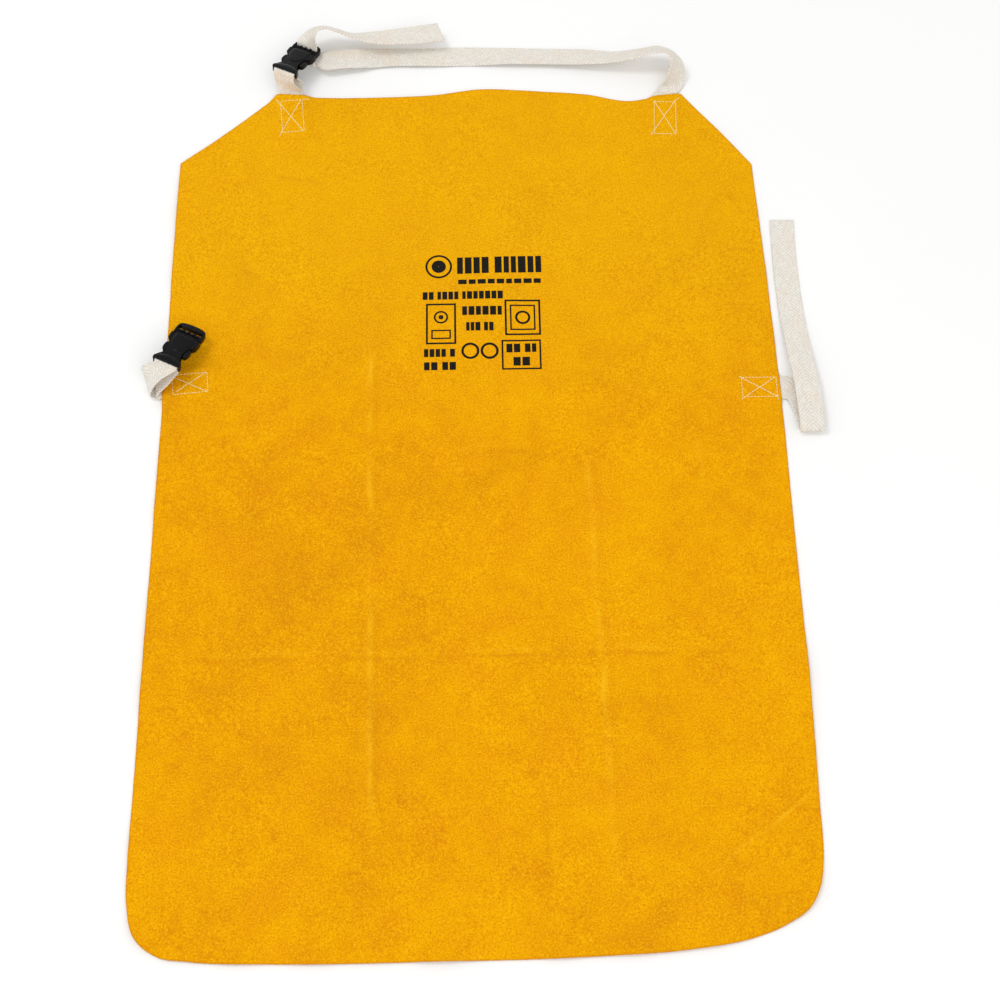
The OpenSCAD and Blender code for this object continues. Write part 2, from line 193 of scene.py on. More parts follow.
def triangulate(loops, points):
    """Triangles that fill the first loop outside the others. Returns points, triangles and rim edges."""
    rim, count = [], 0
    for loop in loops:
        rim += [(count + i, count + (i + 1) % len(loop)) for i in range(len(loop))]
        count += len(loop)
    coords = [Vector(p) for p in np.vstack([*loops, points])]
    verts, _, faces, *_ = delaunay_2d_cdt(coords, rim, [], 1, 1e-5)
    flat = np.array([tuple(v) for v in verts])
    tris = np.array([f for f in faces if len(f) == 3])
    for hole in loops[1:]:
        tris = tris[~inside(flat[tris].mean(axis=1), hole)]
    a, b, c = (flat[tris[:, k]] for k in range(3))
    (bx, by), (cx, cy) = (b - a).T, (c - a).T
    clockwise = bx * cy - by * cx < 0
    tris[clockwise] = tris[clockwise][:, ::-1]
    directed = {(int(t[k]), int(t[(k + 1) % 3])) for t in tris for k in range(3)}
    return flat, tris, [(p, q) for p, q in directed if (q, p) not in directed]


def slab_faces(count, tris, rim, rows):
    """Faces of a closed slab: top points, bottom points, then rows of rim points between them."""
    order = {v: i for i, v in enumerate(sorted({v for e in rim for v in e}))}
    faces = tris.tolist() + (tris[:, ::-1] + count).tolist()
    first = 2 * count

    def at(row, v):
        """Index of rim point v in a row, counted down from the top."""
        if row == 0:
            return v
        if row == rows + 1:
            return v + count
        return first + (row - 1) * len(order) + order[v]

    for p, q in rim:
        faces += [[at(row, q), at(row, p), at(row + 1, p), at(row + 1, q)] for row in range(rows + 1)]
    return faces, list(order)


def grid_points(low, high, step):
    """A triangular grid over a box."""
    rows = []
    for i, y in enumerate(np.arange(low[1], high[1], step * math.sqrt(0.75))):
        x = np.arange(low[0] + (step / 2 if i % 2 else 0), high[0], step)
        rows.append(np.column_stack([x, np.full(len(x), y)]))
    return np.vstack(rows)


def thin_out(points, gap):
    """Points, less all but the first in each cell of a grid with cells of that size."""
    cells, kept = set(), []
    for p in points:
        cell = (round(p[0] / gap), round(p[1] / gap))
        if cell not in cells:
            cells.add(cell)
            kept.append(p)
    return np.array(kept)


def tube(path, radii, sides=8):
    """Points, faces and (along, round) pairs of a closed tube along a path."""
    ahead = unit(np.gradient(path, axis=0))
    up = np.array([0, 0, 1.0])
    side = unit(np.cross(ahead, up) + np.array([1e-6, 0, 0]))
    over = np.cross(side, ahead)
    angle = np.arange(sides) * 2 * math.pi / sides
    ring = side[:, None] * np.cos(angle)[None, :, None] + over[:, None] * np.sin(angle)[None, :, None]
    points = (path[:, None] + ring * np.asarray(radii)[:, None, None]).reshape(-1, 3)
    n = len(path)
    faces = band_faces(n, sides) + [list(range(sides))[::-1], [(n - 1) * sides + k for k in range(sides)]]
    along = np.concatenate([[0], np.cumsum(np.linalg.norm(np.diff(path, axis=0), axis=1))])
    uv = np.column_stack([np.repeat(along, sides), np.tile(np.arange(sides) / sides * 2, n)])
    return points, faces, uv


def band_faces(rings, sides):
    """Faces between rings of points, each ring closed on itself."""
    return [[i * sides + k, i * sides + (k + 1) % sides, (i + 1) * sides + (k + 1) % sides,
             (i + 1) * sides + k] for i in range(rings - 1) for k in range(sides)]


def joined(parts):
    """Several (points, faces, uv) as one."""
    points, faces, uvs, count = [], [], [], 0
    for p, f, uv in parts:
        points.append(p)
        uvs.append(uv)
        faces += [[v + count for v in face] for face in f]
        count += len(p)
    return np.vstack(points), faces, np.vstack(uvs)


# ---- shader graphs ----
class Graph:
    """A material's nodes by short calls. An input is a number, a colour or another node's output."""

    def __init__(self, name):
        self.material = bpy.data.materials.new(name)
        self.material.use_nodes = True
        self.tree = self.material.node_tree
        self.tree.nodes.clear()

    def node(self, kind, inputs=None, out=0, **settings):
        """Adds a node and returns one of its outputs."""
        n = self.tree.nodes.new("ShaderNode" + kind)
        for key, value in settings.items():
            setattr(n, key, value)
        for key, value in (inputs or {}).items():
            if isinstance(value, bpy.types.NodeSocket):
                self.tree.links.new(value, n.inputs[key])
            else:
                n.inputs[key].default_value = value
        return n.outputs[out]

    def math(self, operation, a, b=0.0, c=0.0):
        """A math node."""
        return self.node("Math", {0: a, 1: b, 2: c}, operation=operation)

    def add(self, a, b):
        return self.math("ADD", a, b)

    def mul(self, a, b):
        return self.math("MULTIPLY", a, b)

    def noise(self, vector, scale, detail=2.0, roughness=0.5):
        inputs = {"Vector": vector, "Scale": scale, "Detail": detail, "Roughness": roughness}
        return self.node("TexNoise", inputs)

    def span(self, value, low, high, to_low=0.0, to_high=1.0):
        """The value carried from low..high to to_low..to_high, and held at the ends."""
        return self.node("MapRange", {0: value, 1: low, 2: high, 3: to_low, 4: to_high})

    def mix(self, share, a, b):
        """A share of colour b over colour a."""
        return self.node("Mix", {0: share, 6: a, 7: b}, out=2, data_type="RGBA")

    def scaled(self, vector, factors):
        """A vector with each part multiplied by its factor."""
        return self.node("VectorMath", {0: vector, 1: factors}, operation="MULTIPLY")

    def bump(self, height, distance, strength=1.0, normal=None):
        """A bumped normal, over another one if given."""
        inputs = {"Height": height, "Distance": distance, "Strength": strength}
        if normal is not None:
            inputs["Normal"] = normal
        return self.node("Bump", inputs)

    def principled(self, **inputs):
        """Finishes with a principled shader and returns the material."""
        named = {key.replace("_", " "): value for key, value in inputs.items()}
        return self.finish(self.node("BsdfPrincipled", named))

    def finish(self, shader):
        """Joins a shader to the material's output and returns the material."""
        output = self.tree.nodes.new("ShaderNodeOutputMaterial")
        self.tree.links.new(shader, output.inputs["Surface"])
        return self.material


def srgb(r, g, b):
    """A colour as seen on screen, 0 to 255, in linear light."""
    linear = [c / 255 / 12.92 if c <= 10 else ((c / 255 + 0.055) / 1.055) ** 2.4 for c in (r, g, b)]
    return (*linear, 1.0)


def leather_material():
    """Suede split: cloudy dye, painted shade over the left middle, brushed nap, fine speckle, creases with
    rubbed nap and painted highlight on the ridges and painted shade in the grooves, and a darker cut edge.
    """
    g = Graph("suede_leather")
    place = g.node("Attribute", out=1, attribute_name="rest")
    edge = g.node("Attribute", out=2, attribute_name="edge")
    crease = g.node("Attribute", out=2, attribute_name="crease")
    warp = g.node("TexNoise", {"Vector": place, "Scale": 0.012, "Detail": 3.0}, out=1)
    bent = g.node("VectorMath", {0: place, 1: g.scaled(warp, (45, 45, 45))}, operation="ADD")
    cloud = g.noise(bent, 0.0085, 4.0, 0.55)
    patch = g.noise(bent, 0.034, 4.0, 0.6)
    blotch = g.noise(place, 0.13, 3.0, 0.6)
    nap = g.noise(g.scaled(place, (1.0, 0.62, 1.0)), 0.36, 3.0, 0.65)
    speck = g.noise(place, 0.62, 2.0, 0.7)
    hair = g.noise(g.scaled(bent, (2.2, 0.8, 2.2)), 1.1, 3.0, 0.7)
    tone = g.add(g.mul(g.span(cloud, 0.3, 0.7), 0.36), g.mul(g.span(patch, 0.3, 0.7), 0.34))
    tone = g.add(tone, g.mul(g.span(blotch, 0.25, 0.75), 0.30))
    height = g.node("SeparateXYZ", {0: place}, out=1)
    # painted shade: the tone falls toward (-250, -10), a broad darkening of the left middle of the sheet that
    # stands in for dimmer light there
    painted_shade_distance = g.node("VectorMath", {0: place, 1: (-250, -10, 0)}, out=1, operation="DISTANCE")
    tone = g.add(tone, g.span(painted_shade_distance, 40, 330, -0.11, 0.03))
    colour = g.mix(g.span(tone, 0.18, 0.5), srgb(220, 142, 8), srgb(234, 159, 2))
    colour = g.mix(g.span(tone, 0.48, 0.85), colour, srgb(243, 172, 2))
    warm = g.noise(bent, 0.021, 3.0, 0.5)
    for field, low, high, at_low, at_high, tint in (
            (warm, 0.50, 0.68, 0.0, 0.45, (232, 146, 10)), (height, 40, 260, 0.0, 0.45, (236, 182, 12)),
            (nap, 0.30, 0.50, 0.30, 0.0, (220, 142, 8)), (nap, 0.50, 0.72, 0.0, 0.30, (252, 188, 14)),
            (speck, 0.28, 0.50, 0.80, 0.0, (202, 118, 10)), (speck, 0.52, 0.72, 0.0, 0.70, (255, 200, 24)),
            (hair, 0.30, 0.50, 0.20, 0.0, (208, 128, 8)), (hair, 0.50, 0.68, 0.0, 0.30, (255, 196, 20))):
        colour = g.mix(g.span(field, low, high, at_low, at_high), colour, srgb(*tint))
    # creases: a paler colour on the ridges, part rubbed nap and part painted highlight
    rubbed_nap_and_highlight = g.mul(g.span(crease, 0.0, 1.0), g.span(patch, 0.35, 0.6, 0.22, 0.60))
    colour = g.mix(rubbed_nap_and_highlight, colour, srgb(250, 190, 34))
    # painted shade: darker where the crease mark is negative, in the grooves and on the side beside each
    # ridge
    colour = g.mix(g.span(crease, 0.0, -1.0, 0.0, 0.62), colour, srgb(206, 128, 16))
    rim = g.span(g.add(edge, g.mul(blotch, -2.0)), -1.2, 0.9, 0.55, 0.0)
    colour = g.mix(rim, colour, srgb(196, 120, 22))
    fibre = g.add(g.add(g.mul(nap, 0.7), g.mul(speck, 0.7)), g.mul(hair, 0.7))
    normal = g.bump(g.noise(place, 0.09, 4.0, 0.55), 0.8 * MM, 0.5)
    normal = g.bump(fibre, 0.42 * MM, 0.9, normal)
    rough = g.span(speck, 0.3, 0.7, 0.88, 1.0)
    return g.principled(Base_Color=colour, Roughness=rough, Normal=normal, Specular_IOR_Level=0.02,
                        Sheen_Weight=0.05, Sheen_Roughness=0.5, Sheen_Tint=srgb(255, 185, 20))


def webbing_material():
    """Cotton herringbone twill: warp floats stepped one pick a yarn, reversing at the middle."""
    g = Graph("cotton_webbing")
    weave = g.node("UVMap", uv_map="weave")
    along = g.node("SeparateXYZ", {0: weave})
    across = g.node("SeparateXYZ", {0: weave}, out=1)
    yarn = g.math("DIVIDE", across, YARN)
    index = g.math("FLOOR", yarn)
    in_yarn = g.math("FRACT", yarn)
    off_centre = g.mul(g.math("ABSOLUTE", g.add(index, 0.5)), YARN)
    wobble = g.span(g.noise(weave, 0.7, 2.0, 0.5), 0.0, 1.0, -0.9, 0.9)
    phase = g.math("DIVIDE", g.add(g.add(along, off_centre), wobble), PICK)
    step = g.math("FRACT", phase)
    float_shape = g.math("SINE", g.mul(g.math("MINIMUM", g.math("DIVIDE", step, 0.76), 1.0), math.pi))
    float_shape = g.math("POWER", g.math("MAXIMUM", float_shape, 0.0), 0.6)
    off_axis = g.math("ABSOLUTE", g.span(in_yarn, 0, 1, -1, 1))
    round_yarn = g.math("SUBTRACT", 1.0, g.math("POWER", off_axis, 2.2))
    height = g.mul(float_shape, g.add(g.mul(round_yarn, 0.8), 0.2))
    cell = g.node("CombineXYZ", {0: index, 1: g.math("FLOOR", phase)})
    chance = g.node("TexWhiteNoise", {"Vector": cell})
    cloud = g.noise(weave, 0.045, 3.0, 0.6)
    fluff = g.noise(weave, 2.4, 2.0, 0.6)
    seed = g.noise(weave, 0.55, 1.0, 0.4)
    colour = g.mix(g.span(cloud, 0.32, 0.68), srgb(243, 233, 219), srgb(240, 240, 234))
    # painted shade: darker in the low gaps between the yarn floats, stronger in patches
    gap_shade_strength = g.span(g.noise(weave, 0.22, 3.0, 0.6), 0.3, 0.7, 0.22, 0.62)
    colour = g.mix(g.mul(g.span(height, 0.02, 0.6, 1.0, 0.0), gap_shade_strength), colour, srgb(184, 172, 156))
    colour = g.mix(g.span(chance, 0.0, 1.0, 0.42, 0.0), colour, srgb(208, 196, 180))
    colour = g.mix(g.span(fluff, 0.54, 0.72, 0.0, 0.7), colour, srgb(255, 254, 250))
    colour = g.mix(g.span(seed, 0.74, 0.78, 0.0, 0.5), colour, srgb(170, 140, 105))
    normal = g.bump(height, 0.30 * MM, 0.7)
    normal = g.bump(fluff, 0.12 * MM, 0.6, normal)
    return g.principled(Base_Color=colour, Roughness=0.92, Normal=normal, Specular_IOR_Level=0.12,
                        Sheen_Weight=0.15, Sheen_Roughness=0.6, Sheen_Tint=srgb(255, 250, 240))


def thread_material():
    """Pale polycotton sewing thread with its plies."""
    g = Graph("sewing_thread")
    weave = g.node("UVMap", uv_map="weave")
    ply = g.node("TexWave", {"Vector": weave, "Scale": 0.9, "Distortion": 0.6}, out=1,
                 bands_direction="DIAGONAL")
    fuzz = g.noise(weave, 4.0, 2.0, 0.6)
    # painted highlight and shade along the plies: paler on their crowns, darker in the grooves between them
    colour = g.mix(g.span(ply, 0.2, 0.8), srgb(240, 222, 138), srgb(253, 246, 192))
    colour = g.mix(g.span(fuzz, 0.5, 0.75, 0.0, 0.5), colour, srgb(255, 255, 232))
    return g.principled(Base_Color=colour, Roughness=0.7, Normal=g.bump(ply, 0.12 * MM, 0.8),
                        Specular_IOR_Level=0.25, Sheen_Weight=0.1, Sheen_Roughness=0.5)


def plastic_material():
    """Black moulded acetal: spark-eroded skin, faint flow streaks and small scuffs."""
    g = Graph("moulded_plastic")
    place = g.node("TexCoord", out=3)
    grain = g.noise(place, 2600.0, 2.0, 0.6)
    flow = g.noise(g.scaled(place, (60.0, 240.0, 60.0)), 1.0, 3.0, 0.6)
    scuff = g.noise(place, 420.0, 4.0, 0.75)
    colour = g.mix(g.span(flow, 0.3, 0.7), srgb(5, 6, 8), srgb(12, 13, 15))
    colour = g.mix(g.span(scuff, 0.62, 0.74, 0.0, 0.3), colour, srgb(60, 60, 62))
    rough = g.add(g.span(grain, 0.3, 0.7, 0.15, 0.26), g.span(scuff, 0.6, 0.75, 0.0, 0.2))
    normal = g.bump(grain, 0.03 * MM, 0.45)
    normal = g.bump(flow, 0.10 * MM, 0.3, normal)
    return g.principled(Base_Color=colour, Roughness=rough, Normal=normal, Specular_IOR_Level=0.14)


def ink_material():
    """Screen-printed black ink that lets the nap show through where it is thin."""
    g = Graph("printing_ink")
    place = g.node("TexCoord", out=3)
    gap = g.span(g.noise(place, 900.0, 3.0, 0.7), 0.66, 0.74, 0.0, 0.8)
    colour = g.mix(g.span(g.noise(place, 500.0, 2.0), 0.3, 0.7), srgb(14, 12, 10), srgb(30, 26, 20))
    ink = g.node("BsdfPrincipled", {"Base Color": colour, "Roughness": 0.8, "Specular IOR Level": 0.15,
                                    "Normal": g.bump(g.noise(place, 1100.0, 2.0), 0.12 * MM, 0.6)})
    return g.finish(g.node("MixShader", {0: gap, 1: ink, 2: g.node("BsdfTransparent")}))


def floor_material():
    """A plain pale floor."""
    g = Graph("pale_floor")
    place = g.node("TexCoord", out=3)
    colour = g.mix(g.noise(place, 3.0, 2.0), srgb(247, 247, 246), srgb(250, 250, 249))
    return g.principled(Base_Color=colour, Roughness=0.9, Specular_IOR_Level=0.1)


# ---- sewn zones ----
def st(centre, across, stretch=1.0):
    """One station of a strap: its middle, its width direction and how far its width is stretched."""
    return [*centre, *across, stretch]


class Zone:
    """A webbing end sewn under the leather. Local y points out of the leather, from the exit point."""

    def __init__(self, exit_point, turn, layers, inset, length, width, overruns):
        """inset, length and width place the stitched box; the overruns are its cross and loose seams."""
        self.exit = np.array(exit_point, float)
        a = math.radians(turn)
        self.axes = np.array([[math.cos(a), math.sin(a)], [-math.sin(a), math.cos(a)]])
        self.pocket = STITCH_H + layers * WEB_T + (layers - 1) * LAYER_GAP
        self.web_end = inset + length + 3
        w = width / 2
        box = [(-w, -inset - length), (w, -inset - length), (w, -inset), (-w, -inset)]
        self.seams = [(box[k], box[(k + 1) % 4]) for k in range(4)] + overruns

    def local(self, points):
        """Plan points in the zone's own frame."""
        return (points - self.exit) @ self.axes.T

    def world(self, points):
        """Points in the zone's own frame, in plan."""
        return np.asarray(points, float) @ self.axes + self.exit

    def station(self, depth, z=REST_Z):
        """A station of the webbing this deep under the leather."""
        return st([*self.world([(0, -depth)])[0], z], [*self.axes[0], 0])

    def lift(self, points):
        """How far the webbing raises the leather."""
        p = self.local(points)
        run = RISE_RUN * self.pocket
        side = 1 - ease(HALF_WEB + RISE_GAP, HALF_WEB + RISE_GAP + run, np.abs(p[:, 0]))
        end = 1 - ease(self.web_end + RISE_GAP, self.web_end + RISE_GAP + run, -p[:, 1])
        return self.pocket * side * end

    def near(self, points, margin):
        """Which points lie over the sewn webbing or within a margin of it."""
        x, y = self.local(points).T
        return (np.abs(x) < HALF_WEB + margin) & (y > -self.web_end - margin) & (y < margin)

    def pucker(self, points):
        """How far the stitches pull the leather down."""
        out = np.zeros(len(points))
        close = self.near(points, 6)
        p = self.local(points[close])
        d = np.min([distance_to(p, a, b) for a, b in self.seams], axis=0)
        out[close] = DENT * np.exp(-(d / DENT_W) ** 2)
        return out


ZONES = {
    "neck_tab": Zone((-196.6, HY + 1), 5, 2, 9.5, 42, 24,
                     [((-17.2, -6.4), (11, -51.3)), ((10.6, -10), (-15.6, -55.4)),
                      ((12.5, -9.6), (20.5, -9))]),
    "neck_strap": Zone((222, HY - 7), -3, 1, 10.5, 43, 24,
                       [((-12.6, -9), (11.4, -52.4)), ((11.6, -8.6), (-15.8, -55.6)),
                        ((11, -9), (16.4, -4.4))]),
    "waist_tab": Zone((-HX, 103.5), 95, 2, 10, 35.5, 22,
                      [((11.6, -45), (-8, -13.6)), ((8.6, -11.6), (-11.2, -45))]),
    "waist_strap": Zone((HX + 3, 91), -90, 1, 4, 35.5, 22,
                        [((-12.6, -42), (11.2, -4)), ((-10.8, -5), (13.8, -41.6)),
                         ((9, -3.8), (14.8, -3.4))]),
}


# ---- leather ----
# packing creases: start, end, height, half width; a negative height is a groove
CREASES = [((-104, 203), (-96, -393), 0.48, 3.0), ((116, 48), (127, -441), 0.42, 3.0),
           ((-HX + 4, FOLD_Y), (HX - 4, FOLD_Y), -0.36, 2.4), ((205, -398), (313, -319), 0.62, 1.6),
           ((-215, 360), (-150, 345), -0.3, 3.0), ((262, 330), (250, 292), 0.35, 3.2),
           ((130, 330), (112, 262), 0.25, 3.6), ((60, -300), (66, -380), -0.25, 2.6),
           ((-250, 250), (-205, 214), -0.3, 3.2), ((-20, 20), (60, 26), -0.2, 3.4),
           ((228, 40), (233, -70), 0.2, 2.6), ((-180, -60), (-235, -96), 0.2, 2.8)]
FLAT_SPOT = ((-330, 75), (-255, 185))  # under the waist buckle


def crease_axis(a, b):
    """Start, direction, sideways direction and length of a crease."""
    a, b = np.array(a, float), np.array(b, float)
    along = unit(b - a)
    return a, along, np.array([-along[1], along[0]]), np.linalg.norm(b - a)


def crease_shape(points):
    """(height of the creases, signed strength from -1 groove to 1 ridge) at each point."""
    height, mark = np.zeros(len(points)), np.zeros(len(points))
    sway = ripple(points, 38, 7.3) * 3.2
    for i, (a, b, h, w) in enumerate(CREASES):
        a, along, side, length = crease_axis(a, b)
        s = (points - a) @ along
        d = (points - a) @ side + sway
        fade = ease(0, 0.12 * length, s) * (1 - ease(0.88 * length, length, s))
        fade = fade * (0.25 + 0.75 * np.clip(0.5 + 1.6 * noise_line(s, 40, i), 0, 1))
        ridge = np.exp(-(d / w) ** 2) - 0.45 * np.exp(-((d - 2.1 * w) / (1.3 * w)) ** 2)
        height += h * ridge * fade
        mark += np.sign(h) * min(1.0, abs(h) / 0.6) * ridge * fade
    return height, np.clip(mark, -1, 1)


def leather_waves(points):
    """Gentle lifts of the sheet off the floor, none where webbing or a buckle sits."""
    calm = np.ones(len(points))
    clear, beyond = 12, 30  # calm leather round sewn webbing, and out from its exit
    for zone in ZONES.values():
        x, y = zone.local(points).T
        gap = np.maximum(np.abs(x) - HALF_WEB - clear, np.maximum(-y - zone.web_end - clear, y - beyond))
        calm *= ease(0, 45, gap)
    (x0, y0), (x1, y1) = FLAT_SPOT
    x, y = points.T
    gap = np.maximum(np.maximum(x0 - x, x - x1), np.maximum(y0 - y, y - y1))
    calm *= ease(0, 40, gap)
    to_hem = ease(110, 0, points[:, 1] + HY) + 0.6 * ease(70, 0, HX - np.abs(points[:, 0]))
    broad = np.clip(ripple(points, 120, 2.1) + 0.10, 0, 1) * 3.4
    hem = np.clip(ripple(points, 58, 5.9) + 0.05, 0, 1) * 7.0 * np.clip(to_hem, 0, 1)
    small = (ripple(points, 24, 9.4) + 0.5) * 0.35
    return calm * (broad + hem + small)


def stitch_dents(points):
    """How far all the stitches pull the leather down."""
    return np.sum([z.pucker(points) for z in ZONES.values()], axis=0)


def leather_top(points):
    """Height of the front of the leather."""
    points = np.asarray(points, float)
    lift = np.max([z.lift(points) for z in ZONES.values()], axis=0)
    return leather_waves(points) + lift + LEATHER_T + crease_shape(points)[0] - stitch_dents(points)


def crease_points():
    """Close rows of points along the creases and across the fold of the skirt."""
    strips, fold = [], []
    for a, b, _, _ in CREASES:
        a, along, side, length = crease_axis(a, b)
        steps = np.arange(0, length, 2.4)
        strips += [a + along * steps[:, None] + side * off for off in np.arange(-9, 9.1, 1.5)]
    x = np.arange(-HX + 1, HX, 2.6)
    for off in np.arange(-12, 12.1, 1.2):
        fold.append(np.column_stack([x, np.full(len(x), FOLD_Y + off)]))
    strips, fold = np.vstack(strips), np.vstack(fold)
    return strips[~by_webbing(strips) & (np.abs(strips[:, 1] - FOLD_Y) > 13)], fold


def by_webbing(points):
    """Which points lie near any sewn webbing."""
    return np.any([z.near(points, 12.5) for z in ZONES.values()], axis=0)


def leather_sheet():
    """Plan points, triangles and rim of the leather, and each point's distance to its edge."""
    corners = np.vstack([smooth(TOP_EDGE, 10), smooth(SIDE_AND_HEM, 10), LEFT_BIB])
    loop, fine = densify(corners, 2.2), densify(corners, 0.7)
    ahead = unit(np.roll(loop, -1, axis=0) - np.roll(loop, 1, axis=0))
    inward = np.column_stack([ahead[:, 1], -ahead[:, 0]])
    rings = [loop + inward * d for d in (0.7, 2.0)]
    sewn = np.vstack([z.world(grid_points((-26, -z.web_end - 14), (26, 14), 1.5)) for z in ZONES.values()])
    strips, fold = crease_points()
    base = grid_points((-HX - 6, -HY - 4), (HX + 6, HY + 8), 3.4)
    base = base[(edge_distance(base, np.vstack([strips, fold])) > 2.2) & ~by_webbing(base)]
    keep = [ring[edge_distance(ring, fine) > 0.4] for ring in rings]
    for group in (sewn, fold, strips, base):
        group = group[inside(group, loop)]
        keep.append(group[edge_distance(group, fine) > 2.9])
    flat, tris, rim = triangulate([loop], thin_out(np.vstack(keep), 0.55))
    return flat, tris, rim, edge_distance(flat, fine)


def build_leather(material):
    """The leather as one sheet over both leather nodes, with a shallow groove along the fold of the skirt."""
    flat, tris, rim, to_edge = leather_sheet()
    droop = EDGE_DROOP * np.exp(-to_edge / EDGE_W)
    top = leather_top(flat) - droop
    mark = crease_shape(flat)[1]
    bottom = np.maximum(top - LEATHER_T + stitch_dents(flat) + droop, 0.02)
    faces, order = slab_faces(len(flat), tris, rim, 2)
    points = [np.column_stack([flat, top]), np.column_stack([flat, bottom])]
    fray = ripple(flat[order], 1.7, 4.4)[:, None]
    centre_pull = unit(-flat[order])
    for share, out in ((0.33, 0.16), (0.72, 0.10)):
        height = top[order] * (1 - share) + bottom[order] * share
        points.append(np.column_stack([flat[order] - centre_pull * (out + 0.22 * fray), height]))
    points = np.vstack(points)
    on_rim = len(points) - 2 * len(flat)
    edge = np.concatenate([to_edge, to_edge, np.full(on_rim, -1.0)])
    mark = np.concatenate([mark, mark * 0.4, np.zeros(on_rim)])
    obj = mesh_object("leather_sheet", points, faces, material,
                      attributes={"rest": points, "edge": edge, "crease": mark})
    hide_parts("leather_upper", "leather_lower")
    flex(obj)


# ---- stitching ----
# length of a stitch with its gap, the share of it that is thread, and least and greatest radius
BOX_STITCH, CROSS_STITCH = (3.7, 0.74, 0.34, 0.42), (3.3, 0.86, 0.42, 0.52)


def stitch_row(zone, a, b, rng, kind):
    """Single stitches from a to b, front and back, with the needle gaps between them."""
    full, stroke, thin, thick = kind
    a, b = np.array(a, float), np.array(b, float)
    length = np.linalg.norm(b - a)
    count = max(1, round(length / full))
    pitch = length / count
    across = np.array([-(b - a)[1], (b - a)[0]]) / length
    arch = np.sin(np.linspace(0, math.pi, 9)) ** 0.55
    parts = []
    for i in range(count):
        for back in (0, 1):
            start = (i + (1 - stroke) / 2 + 0.5 * back) * pitch
            s = np.linspace(start, start + stroke * pitch, 9)
            if s[-1] > length + 0.5:
                continue
            slip, skew, radius = rng.uniform(-0.16, 0.16), rng.uniform(-0.1, 0.1), rng.uniform(thin, thick)
            local = a + (b - a) / length * s[:, None]
            local = local + across * slip + across * np.linspace(-1, 1, 9)[:, None] * skew
            plan = zone.world(local)
            if back:
                z, radius = 0.30 + 0.2 * (1 - arch), min(radius, 0.27)
            else:
                z = leather_top(plan) - 0.30 + (0.26 + radius) * arch
            parts.append(tube(np.column_stack([plan, z]), radius * (0.55 + 0.45 * arch)))
    return parts


def build_stitching(material):
    """The four stitched boxes, each with its crossed and overrunning seams."""
    rng = random.Random(11)
    for name, zone in ZONES.items():
        parts = []
        for k, (a, b) in enumerate(zone.seams):
            parts += stitch_row(zone, a, b, rng, CROSS_STITCH if k >= 4 else BOX_STITCH)
        points, faces, uv = joined(parts)
        obj = mesh_object(name + "_stitches", points, faces, material, uv=uv)
        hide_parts(name + "_stitching")
        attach(obj, "panel")


# ---- webbing ----
def profile(half, thick):
    """Outline of the webbing's cut: (across, up) pairs, round at both selvedges."""
    r = thick / 2
    flat = np.linspace(half - r, r - half, 15)
    arc = [math.radians(a) for a in (60, 25, -25, -60)]
    return ([(a, r) for a in flat] + [(r - half - r * math.cos(t), r * math.sin(t)) for t in arc]
            + [(-a, -r) for a in flat] + [(half - r + r * math.cos(t), -r * math.sin(t)) for t in arc])


class Ribbon:
    """The run of a woven strap through its stations, as rings 0.8 mm apart."""

    def __init__(self, stations):
        """Each station is made by st()."""
        fine = smooth(stations, 30)
        run = np.concatenate([[0], np.cumsum(np.linalg.norm(np.diff(fine[:, :3], axis=0), axis=1))])
        self.steps = np.linspace(0, run[-1], max(4, round(run[-1] / 0.8)) + 1)
        line = np.column_stack([np.interp(self.steps, run, fine[:, k]) for k in range(7)])
        self.centre, self.across, self.stretch = line[:, :3], unit(line[:, 3:6]), line[:, 6]
        self.ahead = unit(np.gradient(self.centre, axis=0))
        self.up = unit(np.cross(self.ahead, self.across))

    def nearest(self, point):
        """The ring nearest to a point."""
        return int(np.argmin(np.linalg.norm(self.centre - np.array(point), axis=1)))

    def piece(self, name, material, first=0, last=None, frayed=False):
        """The strap from one ring to another as a mesh; its ends close only where the strap ends."""
        last = len(self.steps) - 1 if last is None else last
        part = slice(first, last + 1)
        steps, centre, across, up = self.steps[part], self.centre[part], self.across[part], self.up[part]
        ahead = self.ahead[part]
        shape = np.array(profile(HALF_WEB, WEB_T))
        selvedge = (np.abs(shape[:, 0]) > HALF_WEB - 1.0) * np.sign(shape[:, 0])
        a = shape[:, 0] * (self.stretch[part] * (1 + 0.008 * noise_line(steps, 22, 3)))[:, None]
        a = a - selvedge * 0.2 * np.abs(np.sin(math.pi * steps / PICK))[:, None]
        cup = 0.10 * noise_line(steps, 30, 8)[:, None] * (shape[:, 0] / HALF_WEB) ** 2
        offset = across[:, None] * a[..., None] + up[:, None] * (shape[:, 1] + cup)[..., None]
        points = (centre[:, None] + offset).reshape(-1, 3)
        square = unit(across - ahead * np.sum(across * ahead, axis=1)[:, None])
        uv = np.column_stack([(steps[:, None] + np.einsum("ijk,ik->ij", offset, ahead)).ravel(),
                              np.einsum("ijk,ik->ij", offset, square).ravel()])
        m, n = len(shape), len(steps)
        faces = band_faces(n, m)
        if first == 0:
            faces.append(list(range(m)))
        if last == len(self.steps) - 1:
            faces.append([(n - 1) * m + k for k in range(m)][::-1])
        parts = [(points, faces, uv)]
        if frayed:
            parts += loose_ends(centre[-1], across[-1], up[-1], ahead[-1], steps[-1])
        points, faces, uv = joined(parts)
        obj = mesh_object(name, points, faces, material, uv=uv)
        return obj


